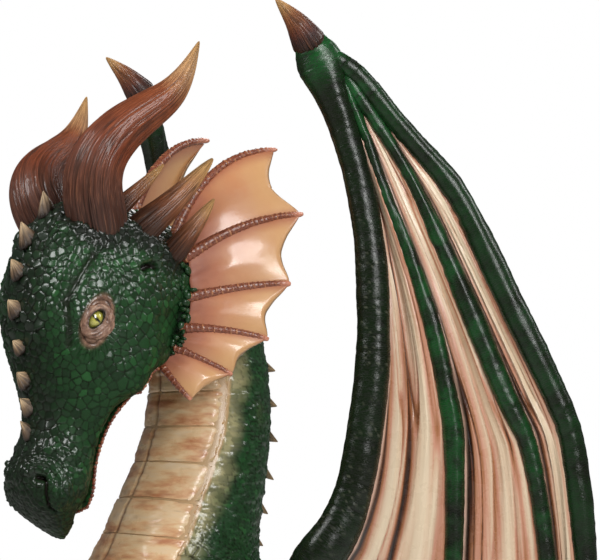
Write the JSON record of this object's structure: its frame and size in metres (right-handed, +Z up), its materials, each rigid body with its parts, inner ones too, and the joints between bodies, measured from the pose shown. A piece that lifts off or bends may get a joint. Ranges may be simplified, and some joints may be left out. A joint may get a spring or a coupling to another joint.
{
  "type": "dragon statue",
  "caption": "Upper section of a painted fibreglass dragon statue: horned, frilled head, scaly neck and chest, and folded bat wings that lift out of steel shoulder cups, on a bolt-down base.",
  "frame": {"origin": "centre of the underside of the base plate, on the floor", "axes": "+Z up, the dragon faces -Y, its left wing is on +X"},
  "size_m": [1.229, 0.9124, 1.4897],
  "materials": {
    "skin_paint": "glossy green paint on scales",
    "belly_paint": "glossy cream paint with brown wash",
    "lip_paint": "glossy copper-brown paint",
    "spike_paint": "satin tan paint with dark streaks",
    "lid_paint": "satin rose-brown paint",
    "horn_paint": "glossy brown paint with grain",
    "frill_paint": "glossy peach paint",
    "rib_paint": "glossy copper-brown paint",
    "web_paint": "glossy cream and rose paint in folds",
    "eye_glass": "painted behind clear glass",
    "steel": "grey primer",
    "plywood": "bare",
    "knob": "matte black"
  },
  "bodies": {
    "statue": {"base_plate": "steel", "foot_brackets": "steel", "mast_tube": "steel", "mast_cap": "steel", "neck_tube": "steel", "neck_bulkhead": "plywood", "head_bulkhead": "plywood", "joint_bolts_set": "steel", "left_brace": "steel", "right_brace": "steel", "left_shoulder_cup": "steel", "right_shoulder_cup": "steel", "chest_shell": "skin_paint", "chest_plates": "belly_paint", "neck_shell": "skin_paint", "neck_band": "plywood", "throat_plates": "belly_paint", "neck_spines": "skin_paint", "head_shell": "skin_paint", "lower_jaw": "lip_paint", "left_eye": "eye_glass", "right_eye": "eye_glass", "left_eyelids": "lid_paint", "right_eyelids": "lid_paint", "left_horn": "horn_paint", "right_horn": "horn_paint", "left_temple_horns": "horn_paint", "right_temple_horns": "horn_paint", "ridge_spikes": "spike_paint", "nape_spines": "skin_paint", "left_frill": "frill_paint", "right_frill": "frill_paint", "left_frill_ribs": "rib_paint", "right_frill_ribs": "rib_paint"},
    "left_wing": {"left_wing_tenon": "steel", "left_wing_arm": "skin_paint", "left_wing_claw": "horn_paint", "left_inner_finger": "skin_paint", "left_middle_finger": "skin_paint", "left_leading_finger": "skin_paint", "left_inner_web": "web_paint", "left_middle_web": "web_paint", "left_outer_web": "web_paint"},
    "right_wing": {"right_wing_tenon": "steel", "right_wing_arm": "skin_paint", "right_wing_claw": "horn_paint", "right_inner_finger": "skin_paint", "right_middle_finger": "skin_paint", "right_leading_finger": "skin_paint", "right_inner_web": "web_paint", "right_middle_web": "web_paint", "right_outer_web": "web_paint"},
    "left_lock": {"left_clamp_knob": "knob"},
    "right_lock": {"right_clamp_knob": "knob"}
  },
  "joints": [
    {"name": "left_wing_lift", "type": "slide", "parent": "statue", "child": "left_wing", "axis": [0.4791, 0.2595, 0.8385], "range_m": [0, 0.12]},
    {"name": "right_wing_lift", "type": "slide", "parent": "statue", "child": "right_wing", "axis": [-0.4791, 0.2595, 0.8385], "range_m": [0, 0.12]},
    {"name": "left_lock_out", "type": "slide", "parent": "statue", "child": "left_lock", "axis": [0.5387, 0.6673, -0.5144], "range_m": [0, 0.006]},
    {"name": "right_lock_out", "type": "slide", "parent": "statue", "child": "right_lock", "axis": [-0.5387, 0.6673, -0.5144], "range_m": [0, 0.006]}
  ]
}
